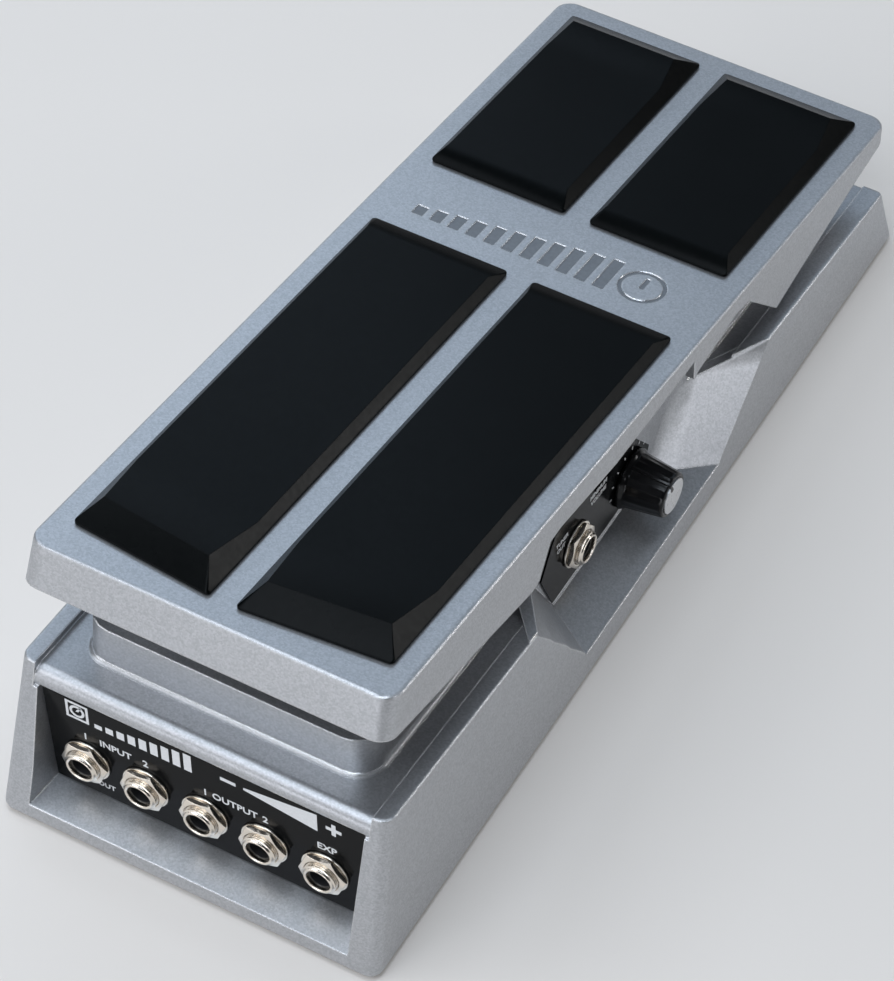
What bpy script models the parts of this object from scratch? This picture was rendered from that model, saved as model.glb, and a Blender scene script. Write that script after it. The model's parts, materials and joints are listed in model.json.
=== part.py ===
"""Volume pedal: a treadle on a cast housing, with five jacks at the toe, and a jack and a knob at the side.

World frame: metres, +Z up, origin on the ground under the middle of the pedal.  The toe end, with the row
of jacks, is at -Y.  The side with the knob is at +X.

Fixed pieces are modelled in the housing frame, an empty at the middle of the toe end's lower edge: y runs
back from the toe edge, z up from the lower rim.  Moving pieces are modelled in frames of their own, whose
origins lie on the joints' axes.
"""

import math

import bmesh
import bpy
from mathutils import Euler, Matrix, Vector

MM = 0.001

# ---------------------------------------------------------------- driving dimensions, in millimetres
WIDTH = 110.0
LENGTH = 289.0
FOOT_DROP = 1.5          # the rubber feet reach this far below the housing's rim
GAP = 0.3                # kept between neighbouring pieces

# housing shell
SIDE_DRAFT = 0.0545      # inward lean of the side walls, per mm of height
TOE_LEAN = 0.264         # backward lean of the toe face
HEEL_LEAN = 0.30         # forward lean of the heel face
RIM_Z0 = 49.2            # height of the side walls' top, extended to y = 0
RIM_FALL = 0.0969        # fall of that top, per mm towards the heel
DECK_STEP = 2.0          # the deck lies this far below the side walls' top
DECK_HALF = 47.8         # half width of the deck between the side walls
TOE_CORNER, HEEL_CORNER = 3.6, 1.8       # radii of the upright corners
EDGE_RADIUS = 0.7
WALL = 2.5
CAVITY_HALF = 50.5       # half width of the hollow underneath, at the rim
PLATE_POCKET = (52.6, 2.6, 286.2, 2.1)   # half width, first y, last y and depth of the bottom plate's recess

# toe recess with the row of jacks
PANEL_Y = 12.7
LIP_Y = 11.6
LIP_RADIUS = 3.6
RECESS_TOP, RECESS_SILL, RECESS_FLOOR = 41.4, 4.0, 5.3
JACK_Z = 18.3
JACK_PITCH = 17.2
LABEL_THICK = 0.4

# centre hump that the treadle closes over
HUMP_HALF = 41.5
HUMP_Y = (22.4, 152.0, 262.0)            # toe face, crest's end, heel end
HUMP_Z = (57.5, 34.0)                    # crest, heel end
HUMP_DRAFT = 0.05
HUMP_CORNER = 7.5
FOOT_FILLET = 0.8                        # small slope where the hump meets the deck

# side recess with the knob and the side jack: corners as (x, y, z)
SCOOP_WALL_X = 40.4
SCOOP_FLOOR = ((54.54, 108.1, 8.5), (SCOOP_WALL_X, 115.0, 13.3), (SCOOP_WALL_X, 165.5, 13.5),
               (54.54, 182.2, 8.4))
SCOOP_TOE_RIM = ((52.8, 85.05, 40.5), (43.4, 97.9, 37.9), (SCOOP_WALL_X, 101.7, 37.2))
SCOOP_HEEL_RIM = ((SCOOP_WALL_X, 177.6, 30.1), (40.6, 185.0, 29.4), (43.4, 191.3, 28.7), (53.43, 213.0, 28.9))
SIDE_JACK = (126.5, 26.0)                # y, z of its axis
KNOB = (155.6, 22.5)                     # y, z of its axis

# treadle and its hinge
PIVOT = (150.0, 47.0)                    # y, z of the hinge axis
REST_TILT = -9.22                        # degrees, toe end raised
TREADLE_HALF = 50.7
TREADLE_TOE, TREADLE_HEEL = -135.4, 137.3
TREADLE_TOP = 18.34                      # its top face above the hinge axis
TREADLE_PLATE = 3.0
TREADLE_WALL = 2.4
TREADLE_CORNER = 5.0
TOE_FLARE, SIDE_FLARE = 2.6, 0.5         # its toe and side faces run outwards by this much, going down
SKIRT_DEPTH = 12.0
SHAFT_RADIUS = 4.0
MARK_U, MARK_FIRST_X, MARK_PITCH, MARK_BARS = 169.0, -36.0, 5.4, 11
MARK_TALL, MARK_DEPTH = 13.0, 0.4        # the engraving between the pads

# gear that turns the volume potentiometer
MODULE = 1.0
SECTOR_TEETH, PINION_TEETH = 84, 12
MESH_ANGLE = 18.0                        # degrees below the horizontal, seen from the hinge axis

PIECES = {}


# ---------------------------------------------------------------- tools
def clear_scene():
    for old in list(bpy.data.objects):
        bpy.data.objects.remove(old, do_unlink=True)


def material(name, colour, roughness, metallic=0.0):
    made = bpy.data.materials.new(name)
    made.use_nodes = True
    shader = made.node_tree.nodes["Principled BSDF"]
    shader.inputs["Base Color"].default_value = (*colour, 1.0)
    shader.inputs["Roughness"].default_value = roughness
    shader.inputs["Metallic"].default_value = metallic
    return made


def empty(name, location, parent=None, tilt=0.0):
    made = bpy.data.objects.new(name, None)
    bpy.context.scene.collection.objects.link(made)
    made.parent = parent
    made.location = Vector(location) * MM
    made.rotation_euler = Euler((math.radians(tilt), 0.0, 0.0))
    return made


def add_object(name, bm, parent, finish=None, place=(0.0, 0.0, 0.0)):
    """Turn a bmesh drawn in millimetres into an object, with smooth faces and sharp edges."""
    bmesh.ops.recalc_face_normals(bm, faces=bm.faces)
    bmesh.ops.scale(bm, vec=(MM, MM, MM), verts=bm.verts)
    mesh = bpy.data.meshes.new(name)
    bm.to_mesh(mesh)
    bm.free()
    mesh.shade_smooth()
    mesh.set_sharp_from_angle(angle=math.radians(32))
    made = bpy.data.objects.new(name, mesh)
    bpy.context.scene.collection.objects.link(made)
    made.parent = parent
    made.location = Vector(place) * MM
    if finish is not None:
        mesh.materials.append(finish)
        PIECES[name] = made
    return made


def combine(target, tool, operation):
    """Join a helper solid to the target or cut it away."""
    tool.hide_render = True
    tool.display_type = "WIRE"
    step = target.modifiers.new(tool.name, "BOOLEAN")
    step.operation = operation
    step.solver = "EXACT"
    step.object = tool


def loft(rings, closed_ends=True):
    """Skin rings that have equal numbers of points."""
    bm = bmesh.new()
    rows = [[bm.verts.new(point) for point in ring] for ring in rings]
    count = len(rows[0])
    for low, high in zip(rows, rows[1:]):
        for i in range(count):
            j = (i + 1) % count
            bm.faces.new((low[i], low[j], high[j], high[i]))
    if closed_ends:
        bm.faces.new(rows[0][::-1])
        bm.faces.new(rows[-1])
    return bm


def box(low, high):
    x0, y0, z0 = low
    x1, y1, z1 = high
    return loft([[(x0, y0, z), (x1, y0, z), (x1, y1, z), (x0, y1, z)] for z in (z0, z1)])


def across(profile, x0, x1):
    """Extrude a (y, z) outline along X."""
    return loft([[(x, y, z) for y, z in profile] for x in (x0, x1)])


def arc(centre, radius, start, end, steps):
    """Points of an arc, with its angles in degrees."""
    angles = [math.radians(start + (end - start) * i / steps) for i in range(steps + 1)]
    return [(centre[0] + radius * math.cos(a), centre[1] + radius * math.sin(a)) for a in angles]


def turned(profile, steps, axis):
    """Spin an (along, radius) outline round an axis; points of radius 0 close it."""
    bm = bmesh.new()
    rows = []
    for along, radius in profile:
        if radius == 0.0:
            rows.append([bm.verts.new(axis(along, 0.0, 0.0))])
            continue
        angles = [2.0 * math.pi * i / steps for i in range(steps)]
        rows.append([bm.verts.new(axis(along, radius * math.cos(a), radius * math.sin(a))) for a in angles])
    closed = profile[0][1] != 0.0
    pairs = list(zip(rows, rows[1:])) + ([(rows[-1], rows[0])] if closed else [])
    for low, high in pairs:
        for i in range(steps):
            j = (i + 1) % steps
            if len(low) == 1:
                bm.faces.new((low[0], high[j], high[i]))
            elif len(high) == 1:
                bm.faces.new((low[i], low[j], high[0]))
            else:
                bm.faces.new((low[i], low[j], high[j], high[i]))
    return bm


def along_x(a, b, c):
    return (a, b, c)


def along_y(a, b, c):
    return (b, a, c)


def along_z(a, b, c):
    return (b, c, a)


def rod(radius, start, end, axis, steps=32):
    return turned([(start, 0.0), (start, radius), (end, radius), (end, 0.0)], steps, axis)


def tube(outer, inner, start, end, axis, steps=32):
    return turned([(start, inner), (start, outer), (end, outer), (end, inner)], steps, axis)


def rounded_rectangle(half_x, y0, y1, radius, z, steps=4):
    """Ring of points at height z."""
    ring = []
    corners = ((half_x, y1, 0), (-half_x, y1, 90), (-half_x, y0, 180), (half_x, y0, 270))
    for x, y, start in corners:
        centre = (x - math.copysign(radius, x), y - radius if y == y1 else y + radius)
        ring += [(px, py, z) for px, py in arc(centre, radius, start, start + 90, steps)]
    return ring


def rim_height(y):
    return RIM_Z0 - RIM_FALL * y


def deck_height(y):
    return rim_height(y) - DECK_STEP


def side_x(z):
    """Half width of the housing at height z."""
    return WIDTH / 2 - SIDE_DRAFT * z


def towards(start, end, factor):
    """Point on the line from start through end, at a factor of their distance."""
    return tuple(s + (e - s) * factor for s, e in zip(start, end))


# ---------------------------------------------------------------- housing
def housing_block():
    """The drafted wedge, with its upright corners rounded."""
    toe_z = RIM_Z0 / (1.0 + RIM_FALL * TOE_LEAN)
    heel_z = (RIM_Z0 - RIM_FALL * LENGTH) / (1.0 - RIM_FALL * HEEL_LEAN)
    toe_y, heel_y = TOE_LEAN * toe_z, LENGTH - HEEL_LEAN * heel_z
    low = [(-WIDTH / 2, 0, 0), (WIDTH / 2, 0, 0), (WIDTH / 2, LENGTH, 0), (-WIDTH / 2, LENGTH, 0)]
    high = [(-side_x(toe_z), toe_y, toe_z), (side_x(toe_z), toe_y, toe_z),
            (side_x(heel_z), heel_y, heel_z), (-side_x(heel_z), heel_y, heel_z)]
    bm = loft([low, high])
    for radius, at_toe in ((TOE_CORNER, True), (HEEL_CORNER, False)):
        upright = [e for e in bm.edges if abs(e.verts[0].co.z - e.verts[1].co.z) > 5.0
                   and all((v.co.y < LENGTH / 2) == at_toe for v in e.verts) and e.is_convex
                   and abs(e.verts[0].co.x - e.verts[1].co.x) < 5.0]
        bmesh.ops.bevel(bm, geom=upright, offset=radius, segments=5, profile=0.5, affect="EDGES")
    around = [e for e in bm.edges if any(len(f.verts) > 6 for f in e.link_faces)]
    bmesh.ops.bevel(bm, geom=around, offset=EDGE_RADIUS, segments=2, profile=0.5, affect="EDGES")
    return bm


def deck_and_lip():
    """Cutter: the space above the deck, down over the rounded lip to the toe recess."""
    tangent = math.degrees(math.atan(RIM_FALL))
    centre_y = LIP_Y + LIP_RADIUS
    centre_z = deck_height(centre_y) - LIP_RADIUS / math.cos(math.radians(tangent))
    lip = arc((centre_y, centre_z), LIP_RADIUS, 90 - tangent, 180, 8)
    far = LENGTH + 10
    out, above, below = -20.0, 90.0, RECESS_TOP - 0.5
    profile = [(out, above), (far, above), (far, deck_height(far))] + lip + [(LIP_Y, below), (out, below)]
    return across(profile, -DECK_HALF, DECK_HALF)


def toe_recess():
    """Cutter: the tapered recess that holds the jack panel."""
    def ring(y, top_half, floor_half, top, floor):
        return [(-floor_half, y, floor), (floor_half, y, floor), (top_half, y, top), (-top_half, y, top)]
    out = -20.0
    lift = (RECESS_FLOOR - RECESS_SILL) / (PANEL_Y - 1.0)
    sill = RECESS_SILL + lift * (out - 1.0)
    return loft([ring(out, 49.4, 49.4, RECESS_TOP, sill), ring(PANEL_Y, 46.4, 44.8, RECESS_TOP, RECESS_FLOOR)])


def side_recess():
    """Cutter: the floor, the two slanting end faces and the inner wall of the side recess."""
    toe_low, toe_in, heel_in, heel_low = SCOOP_FLOOR
    low = [towards(toe_in, toe_low, 1.35), toe_in, heel_in, towards(heel_in, heel_low, 1.35)]
    toe_rim = [towards(SCOOP_TOE_RIM[1], SCOOP_TOE_RIM[0], 1.5), SCOOP_TOE_RIM[1], SCOOP_TOE_RIM[2]]
    heel_rim = [*SCOOP_HEEL_RIM[:3], towards(SCOOP_HEEL_RIM[2], SCOOP_HEEL_RIM[3], 1.4)]
    bm = bmesh.new()

    def skin(lower, upper, rows):
        """Ruled surface between two polylines with equal numbers of points."""
        grid = [[bm.verts.new(towards(a, b, i / rows)) for a, b in zip(lower, upper)] for i in range(rows + 1)]
        for under, over in zip(grid, grid[1:]):
            for i in range(len(under) - 1):
                bm.faces.new((under[i], under[i + 1], over[i + 1], over[i]))
        return grid

    toe_floor = [low[0], towards(low[0], low[1], 0.75), low[1]]
    heel_floor = [low[2], towards(low[2], low[3], 0.12), towards(low[2], low[3], 0.35), low[3]]
    skin(toe_floor, toe_rim, 3)
    skin(heel_floor, heel_rim, 3)
    skin([low[1], low[2]], [toe_rim[2], heel_rim[0]], 3)
    ceiling = 48.0
    top = [(x, y, ceiling) for x, y, z in toe_rim + heel_rim]
    skin(toe_rim + heel_rim, top, 1)
    bm.faces.new([bm.verts.new(p) for p in top])
    bm.faces.new([bm.verts.new(p) for p in toe_floor + heel_floor])
    outer_toe = [towards(toe_floor[0], toe_rim[0], i / 3) for i in range(4)]
    outer_heel = [towards(heel_floor[-1], heel_rim[-1], i / 3) for i in range(4)]
    bm.faces.new([bm.verts.new(p) for p in outer_toe + [top[0], top[-1]] + outer_heel[::-1]])
    bmesh.ops.remove_doubles(bm, verts=bm.verts, dist=0.001)
    bmesh.ops.triangulate(bm, faces=bm.faces)
    return bm


def hump(inset, floor):
    """The centre hump; with an inset, the hollow inside it."""
    toe, crest_end, heel = HUMP_Y[0] + inset, HUMP_Y[1], HUMP_Y[2] - inset
    crest, tail = HUMP_Z[0] - inset, HUMP_Z[1] - inset
    lean = 1.2
    profile = [(toe, floor), (toe, 40.0), (toe + lean, crest), (crest_end, crest), (heel, tail), (heel + 3, floor)]
    bm = across(profile, -(HUMP_HALF - inset), HUMP_HALF - inset)
    whole = bm.verts[:] + bm.edges[:] + bm.faces[:]
    bmesh.ops.bisect_plane(bm, geom=whole, dist=0.001, plane_co=(0.0, 0.0, 40.0), plane_no=(0.0, 0.0, 1.0))
    for vert in bm.verts:
        vert.co.x -= math.copysign(HUMP_DRAFT * max(0.0, vert.co.z - 40.0), vert.co.x)
    radius = HUMP_CORNER - inset
    corners = [e for e in bm.edges if all(v.co.y < toe + lean + 0.1 for v in e.verts)
               and abs(e.verts[0].co.x - e.verts[1].co.x) < 5.0 and e.verts[0].co.z != e.verts[1].co.z]
    bmesh.ops.bevel(bm, geom=corners, offset=radius, segments=4, profile=0.5, affect="EDGES")
    return bm


def hump_foot():
    """The small slope round the hump's foot, which follows the falling deck."""
    toe, heel = HUMP_Y[0], HUMP_Y[2] - 8.0
    half = HUMP_HALF - HUMP_DRAFT * (deck_height(toe) - 40.0)
    rings = []
    for grow, rise in ((FOOT_FILLET, -1.0), (FOOT_FILLET, 0.05), (0.35 * FOOT_FILLET, 0.35 * FOOT_FILLET),
                       (0.0, FOOT_FILLET)):
        ring = rounded_rectangle(half + grow, toe - grow, heel, HUMP_CORNER + grow, 0.0, 5)
        rings.append([(x, y, deck_height(y) + rise) for x, y, z in ring])
    return loft(rings)


def cavity():
    """Cutter: the hollow under the deck."""
    toe, heel = PANEL_Y + 3.0, LENGTH - 5.5
    rings = []
    for drop in (0.0, 1.0):
        ring = []
        for x, y in ((-1, toe), (1, toe), (1, heel), (-1, heel)):
            top = deck_height(y) - WALL
            z = top if drop else -5.0
            ring.append((x * (CAVITY_HALF - SIDE_DRAFT * max(z, 0.0)), y, z))
        rings.append(ring)
    return loft(rings)


def inner_scoop_shell():
    """The wall of the side recess, seen from inside the housing: the recess grown by the wall thickness."""
    grow = WALL
    toe_low, toe_in, heel_in, heel_low = SCOOP_FLOOR
    low = [(CAVITY_HALF + 2, toe_low[1] - 3, 4.5), (toe_in[0] - grow, toe_in[1] - 3, toe_in[2] - grow),
           (heel_in[0] - grow, heel_in[1] + 3, heel_in[2] - grow), (CAVITY_HALF + 2, heel_low[1] + 3, 4.5)]
    toe_rim, heel_rim = SCOOP_TOE_RIM, SCOOP_HEEL_RIM
    high = [(CAVITY_HALF + 2, toe_rim[0][1] - 4, 42.0), (toe_in[0] - grow, toe_rim[2][1] - 4, 42.0),
            (heel_in[0] - grow, heel_rim[0][1] + 9, 30.0), (CAVITY_HALF + 2, heel_rim[3][1] + 4, 27.0)]
    bm = loft([low, high])
    bmesh.ops.triangulate(bm, faces=bm.faces)
    return bm


BRAKE_X = -13.0                          # the brake's middle
RIB_Y, RIB_HALF, RIB_THICK, RIB_FOOT = (136.5, 160.5), 6.0, 3.0, 28.0    # the two ribs that hold its bridge
HINGE_BOSS_RADIUS, BUSH_HOLE = 9.5, 6.3
SCREW_PLACES = [(x, y) for y in (48.0, 228.0, 274.0) for x in (-44.0, 44.0)]
BOSS_RADIUS, SCREW_HOLE, SCREW_RADIUS = 4.0, 1.9, 1.5


def build_housing(frame, finish):
    shell = add_object("housing", housing_block(), frame, finish)
    helpers = [
        ("deck_cut", deck_and_lip(), "DIFFERENCE"),
        ("toe_recess_cut", toe_recess(), "DIFFERENCE"),
        ("hump_join", hump(0.0, 20.0), "UNION"),
        ("hump_foot_join", hump_foot(), "UNION"),
        ("cavity_cut", cavity(), "DIFFERENCE"),
        ("hump_hollow_cut", hump(WALL + 0.6, -5.0), "DIFFERENCE"),
        ("scoop_shell_join", inner_scoop_shell(), "UNION"),
        ("scoop_cut", side_recess(), "DIFFERENCE"),
    ]
    for name, bm, operation in helpers:
        combine(shell, add_object(name, bm, frame), operation)
    half, y0, y1, depth = PLATE_POCKET
    combine(shell, add_object("plate_pocket_cut", box((-half, y0, -5), (half, y1, depth)), frame), "DIFFERENCE")
    for x, y in SCREW_PLACES:
        roof = deck_height(y) - WALL + 1.0
        boss = rod(BOSS_RADIUS, depth, roof, along_z, 20)
        combine(shell, add_object("boss_join", boss, frame, place=(x, y, 0)), "UNION")
        hole = rod(SCREW_HOLE, 1.0, 11.0, along_z, 16)
        combine(shell, add_object("boss_hole_cut", hole, frame, place=(x, y, 0)), "DIFFERENCE")
    for side in (-1, 1):
        inner, outer = sorted((side * 32.5, side * 39.0))
        boss = rod(HINGE_BOSS_RADIUS, inner, outer, along_x)
        combine(shell, add_object("hinge_boss_join", boss, frame, place=(0, *PIVOT)), "UNION")
        inner, outer = sorted((side * 30.0, side * 38.2))
        hole = rod(BUSH_HOLE, inner, outer, along_x)
        combine(shell, add_object("hinge_hole_cut", hole, frame, place=(0, *PIVOT)), "DIFFERENCE")
        inner, outer = sorted((side * 21.0, side * 31.0))
        slot = box((inner, PIVOT[0] - 14, 50), (outer, PIVOT[0] + 14, 65))
        combine(shell, add_object("lug_slot_cut", slot, frame), "DIFFERENCE")
    for y in RIB_Y:
        rib = box((BRAKE_X - RIB_HALF, y, RIB_FOOT), (BRAKE_X + RIB_HALF, y + RIB_THICK, HUMP_Z[0] - 2.0))
        combine(shell, add_object("brake_rib_join", rib, frame), "UNION")
    for x in jack_places():
        hole = rod(NUT_HOLE, 8.0, 20.0, along_y)
        combine(shell, add_object("jack_hole_cut", hole, frame, place=(x, 0, JACK_Z)), "DIFFERENCE")
    hole = rod(NUT_HOLE, 30.0, 45.0, along_x)
    combine(shell, add_object("side_jack_hole_cut", hole, frame, place=(0, *SIDE_JACK)), "DIFFERENCE")
    hole = rod(POT_HOLE, 30.0, 45.0, along_x)
    combine(shell, add_object("pot_hole_cut", hole, frame, place=(0, *KNOB)), "DIFFERENCE")


def jack_places():
    return [JACK_PITCH * i for i in (-2, -1, 0, 1, 2)]


# ---------------------------------------------------------------- base plate, feet and screws
FOOT_PLACES = [(x, y) for y in (24.0, 258.0) for x in (-38.0, 38.0)]


def build_underside(frame, steel, rubber, screw_finish):
    half, y0, y1, depth = PLATE_POCKET
    rings = [rounded_rectangle(half - GAP, y0 + GAP, y1 - GAP, 2.0, z) for z in (GAP, depth - GAP)]
    plate = add_object("bottom_plate", loft(rings), frame, steel)
    for x, y in SCREW_PLACES:
        hole = rod(SCREW_HOLE, -5, 5, along_z, 16)
        combine(plate, add_object("plate_hole_cut", hole, frame, place=(x, y, 0)), "DIFFERENCE")
    access = rod(3.5, -5, 5, along_z, 16)
    combine(plate, add_object("access_hole_cut", access, frame, place=(BRAKE_X, PIVOT[0], 0)), "DIFFERENCE")
    for number, (x, y) in enumerate(FOOT_PLACES, 1):
        profile = [(-FOOT_DROP, 0.0), (-FOOT_DROP, 7.4), (-FOOT_DROP + 0.5, 8.0), (0.0, 8.0), (0.0, 0.0)]
        add_object(f"foot_{number}", turned(profile, 28, along_z), frame, rubber, (x, y, 0))
    for number, (x, y) in enumerate(SCREW_PLACES, 1):
        profile = [(-1.1, 0.0), (-1.1, 2.4), (-0.5, 3.0), (0.0, 3.0), (0.0, SCREW_RADIUS), (9.5, SCREW_RADIUS),
                   (10.3, 0.6), (10.3, 0.0)]
        add_object(f"plate_screw_{number}", turned(profile, 16, along_z), frame, screw_finish, (x, y, 0))


# ---------------------------------------------------------------- jacks and labels
THREAD_RADIUS, BORE_RADIUS, NUT_HOLE = 4.75, 3.25, 5.1
POT_HOLE = 3.9
NUT_TURN = 38.0                          # degrees by which the nuts happen to be turned


def jack_pieces(name, frame, place, turn, metal, plastic):
    """A quarter-inch jack facing -Y before it is turned: threaded body, washer and hexagon nut.

    Its own y is measured from the face of the wall that it is fixed through."""
    mouth, back = -4.8, 25.0
    box_front, box_half = 3.3, 7.4
    block = box((-box_half, box_front, -box_half), (box_half, back, box_half))
    body = add_object(f"{name}_body", block, frame, plastic, place)
    body.rotation_euler = turn
    sleeve = [(mouth, 0.0), (mouth, THREAD_RADIUS - 0.6), (mouth + 0.5, THREAD_RADIUS),
              (box_front + 1.0, THREAD_RADIUS), (box_front + 1.0, 0.0)]
    barrel = add_object(f"{name}_barrel_join", turned(sleeve, 28, along_y), frame, place=place)
    barrel.rotation_euler = turn
    combine(body, barrel, "UNION")
    inside = [(mouth - 1.0, 0.0), (mouth - 1.0, BORE_RADIUS + 1.6), (mouth + 0.6, BORE_RADIUS),
              (back - 4, BORE_RADIUS), (back - 4, 0.0)]
    bore = add_object(f"{name}_bore_cut", turned(inside, 24, along_y), frame, place=place)
    bore.rotation_euler = turn
    combine(body, bore, "DIFFERENCE")
    washer = add_object(f"{name}_washer", tube(6.65, NUT_HOLE, -1.5, -0.85, along_y, 28), frame, metal, place)
    washer.rotation_euler = turn
    nut = add_object(f"{name}_nut", hexagon_nut(12.0, NUT_HOLE, -3.1, -1.65), frame, metal, place)
    nut.rotation_euler = turn


def hexagon_nut(across_flats, hole, start, end):
    """Nut along Y, with its front corners chamfered: a hexagon outside and a round hole."""
    steps = 24
    turn = math.radians(NUT_TURN)
    bm = bmesh.new()
    rows = []
    for y, limit in ((start, 1.04), (start + 0.55, 2.0), (end, 2.0)):
        row = []
        for i in range(steps):
            a = 2 * math.pi * i / steps
            nearest = round(a / (math.pi / 3)) * (math.pi / 3)
            radius = across_flats / 2 * min(limit, 1.0 / math.cos(a - nearest))
            row.append(bm.verts.new((radius * math.cos(a + turn), y, radius * math.sin(a + turn))))
        rows.append(row)
    for y in (end, start):
        angles = [2 * math.pi * i / steps for i in range(steps)]
        rows.append([bm.verts.new((hole * math.cos(a + turn), y, hole * math.sin(a + turn))) for a in angles])
    for low, high in zip(rows, rows[1:] + rows[:1]):
        for i in range(steps):
            j = (i + 1) % steps
            bm.faces.new((low[i], low[j], high[j], high[i]))
    return bm


def build_toe_panel(frame, black, metal, plastic, board_finish):
    top, low = RECESS_TOP - 1.0, RECESS_FLOOR + 0.5
    outline = [(-44.5, low), (44.5, low), (45.9, top), (-45.9, top)]
    front, back = PANEL_Y - GAP - LABEL_THICK, PANEL_Y - GAP
    label = add_object("toe_label", loft([[(x, y, z) for x, z in outline] for y in (front, back)]), frame, black)
    for number, x in enumerate(jack_places(), 1):
        hole = rod(NUT_HOLE, 5.0, 20.0, along_y, 28)
        combine(label, add_object("label_hole_cut", hole, frame, place=(x, 0, JACK_Z)), "DIFFERENCE")
        jack_pieces(f"toe_jack_{number}", frame, (x, PANEL_Y, JACK_Z), Euler(), metal, plastic)
    board = box((-42.0, 17.0, 7.6), (42.0, 42.0, 9.2))
    add_object("jack_board", board, frame, board_finish)


def build_side_panel(frame, black, metal, plastic):
    """The black plate with slanted ends, and the jack, on the inner wall of the side recess."""
    outline = [(114.4, 14.6), (108.2, 29.6), (115.5, 40.5), (157.5, 36.5), (167.0, 24.0), (163.8, 14.7)]
    inner, outer = SCOOP_WALL_X + GAP, SCOOP_WALL_X + GAP + LABEL_THICK
    label = add_object("side_label", across(outline, inner, outer), frame, black)
    for place, radius in ((SIDE_JACK, NUT_HOLE), (KNOB, POT_HOLE)):
        hole = rod(radius, 30, 50, along_x, 28)
        combine(label, add_object("side_label_hole_cut", hole, frame, place=(0, *place)), "DIFFERENCE")
    facing_side = Euler((0.0, 0.0, math.radians(90)))
    jack_pieces("side_jack", frame, (SCOOP_WALL_X, *SIDE_JACK), facing_side, metal, plastic)


# ---------------------------------------------------------------- minimum volume control
def build_level_control(frame, knob_frame, metal, black, silver, plastic):
    """The potentiometer and its nut stay with the housing; the shaft, knob and cap turn."""
    wall_in = SCOOP_WALL_X - WALL
    body = [(25.0, 0.0), (25.0, 8.2), (wall_in - GAP, 8.2), (wall_in - GAP, 3.6), (43.6, 3.6), (43.6, 3.1),
            (27.5, 3.1), (27.5, 0.0)]
    add_object("level_pot", turned(body, 28, along_x), frame, plastic, (0, *KNOB))
    nut = add_object("level_pot_nut", hexagon_nut(10.0, POT_HOLE, -2.8, -1.1), frame, metal, (SCOOP_WALL_X, *KNOB))
    nut.rotation_euler = Euler((0.0, 0.0, math.radians(90)))
    add_object("level_shaft", rod(2.8, 27.9, 51.6, along_x, 24), knob_frame, metal)
    skirt = SCOOP_WALL_X + GAP + LABEL_THICK + 0.4
    knob = [(skirt, 6.6), (skirt, 8.6), (skirt + 1.0, 8.6), (skirt + 1.7, 7.8), (53.5, 6.5), (54.2, 6.0),
            (54.2, 5.4), (53.8, 5.4), (53.8, 0.0)]
    bore = [(52.0, 0.0), (52.0, 3.1), (45.0, 3.1), (45.0, 6.6)]
    add_object("level_knob", turned(bore + knob, 30, along_x), knob_frame, black)
    add_object("level_knob_cap", rod(5.1, 54.1, 54.5, along_x, 28), knob_frame, silver)


# ---------------------------------------------------------------- treadle
def from_toe(u, w):
    """Treadle frame (y, z) of a point u back from the toe's top edge and w above the top face."""
    return (TREADLE_TOE + u, TREADLE_TOP + w)


SIDE_OUTLINE = [                         # lower edge of the side faces, toe to heel, as (u, w)
    (-2.6, -12.0), (41.7, -15.8), (69.0, -18.3), (72.6, -17.3), (77.6, -8.2), (83.0, -7.4), (112.0, -8.2),
    (155.4, -4.8), (155.8, -11.0), (158.5, -9.8), (179.0, -5.6), (187.0, -6.2), (206.3, -21.3), (221.0, -17.2),
    (252.0, -9.2), (273.5, -4.6)]


def treadle_block(half, toe, heel, corner, top, depth, flare):
    """Rounded slab whose toe and side faces run outwards, going down."""
    rings = []
    for down, inset in ((depth, 0.0), (EDGE_RADIUS, 0.0), (0.3 * EDGE_RADIUS, 0.3 * EDGE_RADIUS), (0.0, EDGE_RADIUS)):
        grow = down / SKIRT_DEPTH * flare
        half_x = half + grow * SIDE_FLARE - inset
        first, last = toe - grow * TOE_FLARE + inset, heel + grow * SIDE_FLARE - inset
        rings.append(rounded_rectangle(half_x, first, last, corner - inset, top - down, 5))
    return loft(rings)


def under_skirt():
    """Cutter: everything below the shaped lower edge of the skirt."""
    points = [from_toe(u, w) for u, w in SIDE_OUTLINE]
    first, last = points[0], points[-1]
    out, below = 20.0, -60.0
    profile = [(first[0] - out, first[1])] + points
    profile += [(last[0] + out, last[1]), (last[0] + out, below), (first[0] - out, below)]
    bm = across(profile, -80, 80)
    bmesh.ops.triangulate(bm, faces=bm.faces)
    return bm


def treadle_marks():
    """Cutters for the engraving between the pads: bars that rise like a level, and a round dial."""
    bm = bmesh.new()
    middle, top = TREADLE_TOE + MARK_U, TREADLE_TOP
    for i in range(MARK_BARS):
        x = MARK_FIRST_X + MARK_PITCH * i
        length = 4.0 + (MARK_TALL - 4.0) * i / (MARK_BARS - 1)
        low = Matrix.Translation((x, middle - MARK_TALL / 2 + length / 2, top))
        bmesh.ops.create_cube(bm, size=1.0, matrix=low @ Matrix.Diagonal((3.2, length, 2 * MARK_DEPTH, 1.0)))
    dial_x = MARK_FIRST_X + MARK_PITCH * MARK_BARS + MARK_TALL / 2 - 2.0
    pointer = Matrix.Translation((dial_x, middle + 1.6, top))
    bmesh.ops.create_cube(bm, size=1.0, matrix=pointer @ Matrix.Diagonal((1.2, 4.6, 2 * MARK_DEPTH, 1.0)))
    return bm, (dial_x, middle, top)


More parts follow.
